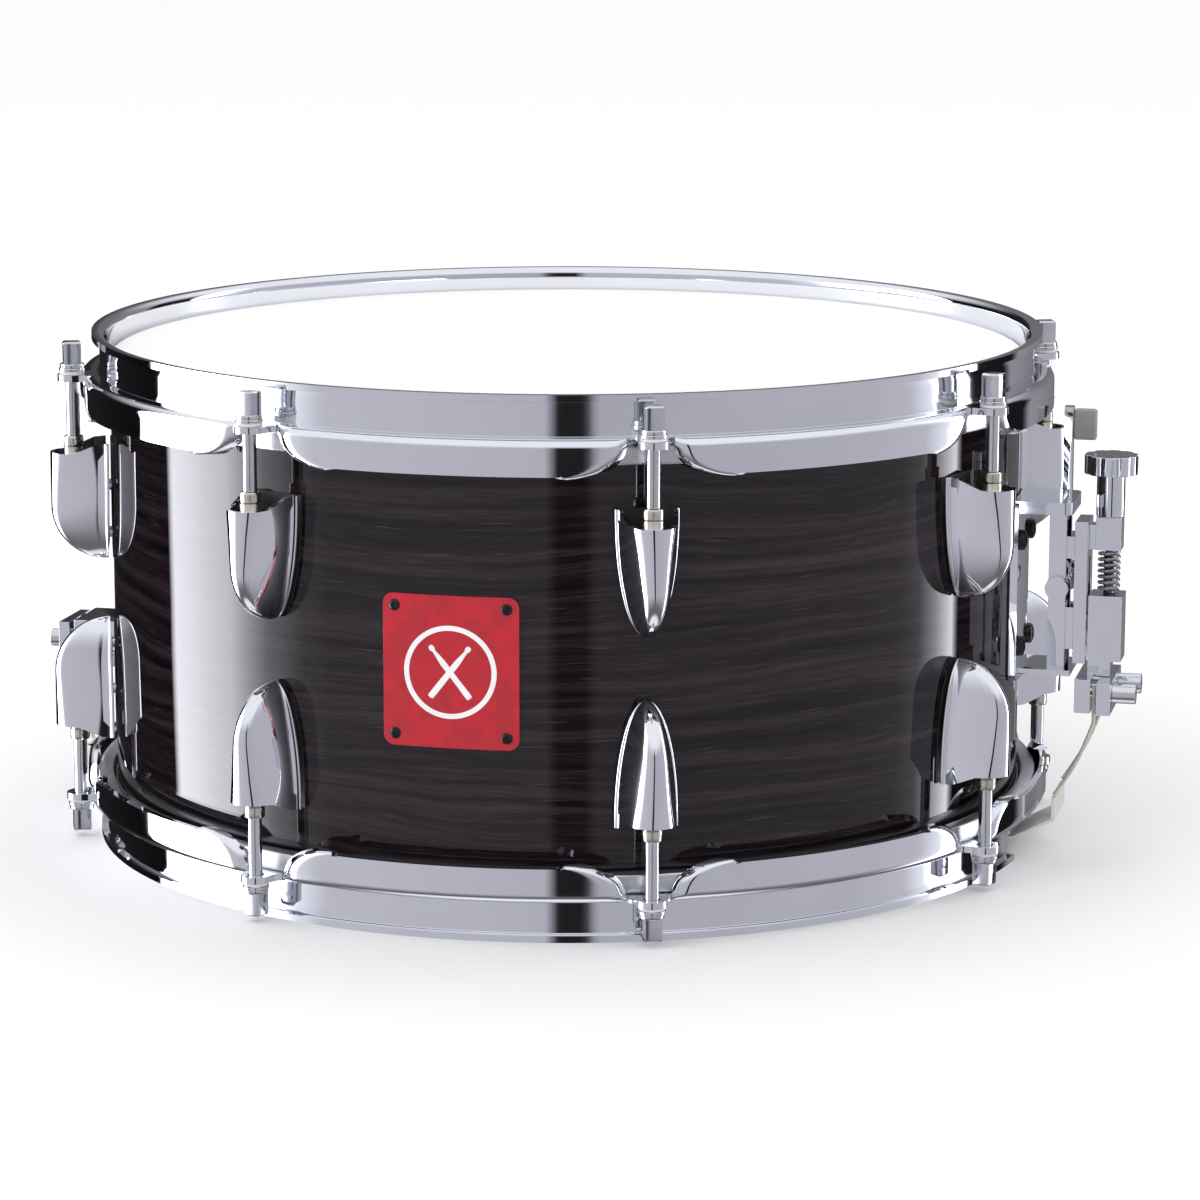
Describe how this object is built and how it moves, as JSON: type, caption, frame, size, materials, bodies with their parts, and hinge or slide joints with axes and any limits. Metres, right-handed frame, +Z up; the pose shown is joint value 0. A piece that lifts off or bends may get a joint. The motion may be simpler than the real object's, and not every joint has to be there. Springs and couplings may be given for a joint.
{
  "type": "snare drum",
  "caption": "Wooden snare drum with triple-flanged steel hoops, separate lugs, tension rods, a throw-off lever strainer with a tension knob, butt plate and snare wires.",
  "frame": {"origin": "on the drum's axis, in the plane of the lower hoop's rim that the drum stands on", "axes": "+Z up along the drum's axis to the batter head, +X to the strainer, -Y to the badge"},
  "size_m": [0.4042, 0.3486, 0.182],
  "materials": {
    "lacquered_wood": "dark stained open-grained veneer under high-gloss clear lacquer",
    "chrome": "bright mirror chrome plate",
    "chrome_fasteners": "chrome-plated machine screws and rods",
    "dark_screws": "black-finished screws",
    "spring_steel": "plain spring steel",
    "snare_wire": "coiled carbon steel wire",
    "brass": "pale brass",
    "aluminium": "drawn aluminium channel",
    "coated_film": "white film with a faintly rough sprayed coating",
    "clear_film": "thin hazy clear film",
    "badge_enamel": "bright red enamel with a white ring device",
    "black_rubber": "thin black rubber",
    "grip_grey": "satin grey sleeve",
    "white_nylon": "natural nylon",
    "cord": "braided polyester cord"
  },
  "bodies": {
    "drum": {"shell": "lacquered_wood", "vent_grommet": "chrome", "badge_plate": "badge_enamel", "badge_screws": "dark_screws", "batter_head": "coated_film", "batter_flesh_hoop": "aluminium", "snare_side_head": "clear_film", "snare_side_flesh_hoop": "aluminium", "batter_hoop": "chrome", "snare_side_hoop": "chrome", "upper_lugs": "chrome", "lower_lugs": "chrome", "lug_gaskets": "black_rubber", "lug_screws": "chrome_fasteners", "lug_screw_washers": "chrome_fasteners", "swivel_nuts": "brass", "nylon_washers": "white_nylon", "steel_washers": "chrome_fasteners", "strainer_frame": "chrome", "strainer_gasket": "black_rubber", "strainer_screws": "dark_screws", "snare_wires": "snare_wire", "wire_plate_strainer": "brass", "wire_plate_butt": "brass", "strap_strainer": "white_nylon", "strap_butt": "white_nylon", "butt_plate": "chrome", "butt_gasket": "black_rubber", "butt_jaw": "chrome", "butt_screws": "chrome_fasteners", "butt_cords": "cord"},
    "lever": {"lever_arm": "chrome", "lever_grip": "grip_grey", "lever_shaft": "chrome"},
    "carriage": {"carriage": "chrome", "snare_cords": "cord"},
    "knob": {"tension_knob": "chrome", "tension_screw": "spring_steel"},
    "tension_block": {"tension_block": "chrome", "clamp_jaw": "chrome", "clamp_screws": "chrome_fasteners", "tension_spring": "spring_steel"},
    "upper_rod_1": {"upper_rod_1": "chrome_fasteners"},
    "upper_rod_2": {"upper_rod_2": "chrome_fasteners"},
    "upper_rod_3": {"upper_rod_3": "chrome_fasteners"},
    "upper_rod_4": {"upper_rod_4": "chrome_fasteners"},
    "upper_rod_5": {"upper_rod_5": "chrome_fasteners"},
    "upper_rod_6": {"upper_rod_6": "chrome_fasteners"},
    "upper_rod_7": {"upper_rod_7": "chrome_fasteners"},
    "upper_rod_8": {"upper_rod_8": "chrome_fasteners"},
    "lower_rod_1": {"lower_rod_1": "chrome_fasteners"},
    "lower_rod_2": {"lower_rod_2": "chrome_fasteners"},
    "lower_rod_3": {"lower_rod_3": "chrome_fasteners"},
    "lower_rod_4": {"lower_rod_4": "chrome_fasteners"},
    "lower_rod_5": {"lower_rod_5": "chrome_fasteners"},
    "lower_rod_6": {"lower_rod_6": "chrome_fasteners"},
    "lower_rod_7": {"lower_rod_7": "chrome_fasteners"},
    "lower_rod_8": {"lower_rod_8": "chrome_fasteners"}
  },
  "joints": [
    {"name": "lever_swing", "type": "hinge", "parent": "drum", "child": "lever", "pos_m": [0.1792, 0.0165, 0.0955], "axis": [0, 1, 0], "range_deg": [0, 90]},
    {"name": "carriage_drop", "type": "slide", "parent": "drum", "child": "carriage", "axis": [0, 0, -1], "range_m": [0, 0.005], "deforming": ["snare_cords"]},
    {"name": "knob_turn", "type": "hinge", "parent": "carriage", "child": "knob", "pos_m": [0.1963, 0, 0.128], "axis": [0, 0, 1], "range_deg": [-1440, 1440]},
    {"name": "block_travel", "type": "slide", "parent": "carriage", "child": "tension_block", "axis": [0, 0, 1], "range_m": [-0.003, 0.003], "deforming": ["tension_spring"]},
    {"name": "upper_rod_1_turn", "type": "hinge", "parent": "drum", "child": "upper_rod_1", "pos_m": [0.16353, 0.06774, 0.15], "axis": [0, 0, 1], "range_deg": [-720, 720]},
    {"name": "upper_rod_2_turn", "type": "hinge", "parent": "drum", "child": "upper_rod_2", "pos_m": [0.06774, 0.16353, 0.15], "axis": [0, 0, 1], "range_deg": [-720, 720]},
    {"name": "upper_rod_3_turn", "type": "hinge", "parent": "drum", "child": "upper_rod_3", "pos_m": [-0.06774, 0.16353, 0.15], "axis": [0, 0, 1], "range_deg": [-720, 720]},
    {"name": "upper_rod_4_turn", "type": "hinge", "parent": "drum", "child": "upper_rod_4", "pos_m": [-0.16353, 0.06774, 0.15], "axis": [0, 0, 1], "range_deg": [-720, 720]},
    {"name": "upper_rod_5_turn", "type": "hinge", "parent": "drum", "child": "upper_rod_5", "pos_m": [-0.16353, -0.06774, 0.15], "axis": [0, 0, 1], "range_deg": [-720, 720]},
    {"name": "upper_rod_6_turn", "type": "hinge", "parent": "drum", "child": "upper_rod_6", "pos_m": [-0.06774, -0.16353, 0.15], "axis": [0, 0, 1], "range_deg": [-720, 720]},
    {"name": "upper_rod_7_turn", "type": "hinge", "parent": "drum", "child": "upper_rod_7", "pos_m": [0.06774, -0.16353, 0.15], "axis": [0, 0, 1], "range_deg": [-720, 720]},
    {"name": "upper_rod_8_turn", "type": "hinge", "parent": "drum", "child": "upper_rod_8", "pos_m": [0.16353, -0.06774, 0.15], "axis": [0, 0, 1], "range_deg": [-720, 720]},
    {"name": "lower_rod_1_turn", "type": "hinge", "parent": "drum", "child": "lower_rod_1", "pos_m": [0.16353, 0.06774, 0.032], "axis": [0, 0, 1], "range_deg": [-720, 720]},
    {"name": "lower_rod_2_turn", "type": "hinge", "parent": "drum", "child": "lower_rod_2", "pos_m": [0.06774, 0.16353, 0.032], "axis": [0, 0, 1], "range_deg": [-720, 720]},
    {"name": "lower_rod_3_turn", "type": "hinge", "parent": "drum", "child": "lower_rod_3", "pos_m": [-0.06774, 0.16353, 0.032], "axis": [0, 0, 1], "range_deg": [-720, 720]},
    {"name": "lower_rod_4_turn", "type": "hinge", "parent": "drum", "child": "lower_rod_4", "pos_m": [-0.16353, 0.06774, 0.032], "axis": [0, 0, 1], "range_deg": [-720, 720]},
    {"name": "lower_rod_5_turn", "type": "hinge", "parent": "drum", "child": "lower_rod_5", "pos_m": [-0.16353, -0.06774, 0.032], "axis": [0, 0, 1], "range_deg": [-720, 720]},
    {"name": "lower_rod_6_turn", "type": "hinge", "parent": "drum", "child": "lower_rod_6", "pos_m": [-0.06774, -0.16353, 0.032], "axis": [0, 0, 1], "range_deg": [-720, 720]},
    {"name": "lower_rod_7_turn", "type": "hinge", "parent": "drum", "child": "lower_rod_7", "pos_m": [0.06774, -0.16353, 0.032], "axis": [0, 0, 1], "range_deg": [-720, 720]},
    {"name": "lower_rod_8_turn", "type": "hinge", "parent": "drum", "child": "lower_rod_8", "pos_m": [0.16353, -0.06774, 0.032], "axis": [0, 0, 1], "range_deg": [-720, 720]}
  ],
  "couplings": [
    {"joint": "lever_swing", "follows": "carriage_drop", "rad_per_m": 314.16},
    {"joint": "knob_turn", "follows": "block_travel", "rad_per_m": 8377.6}
  ]
}
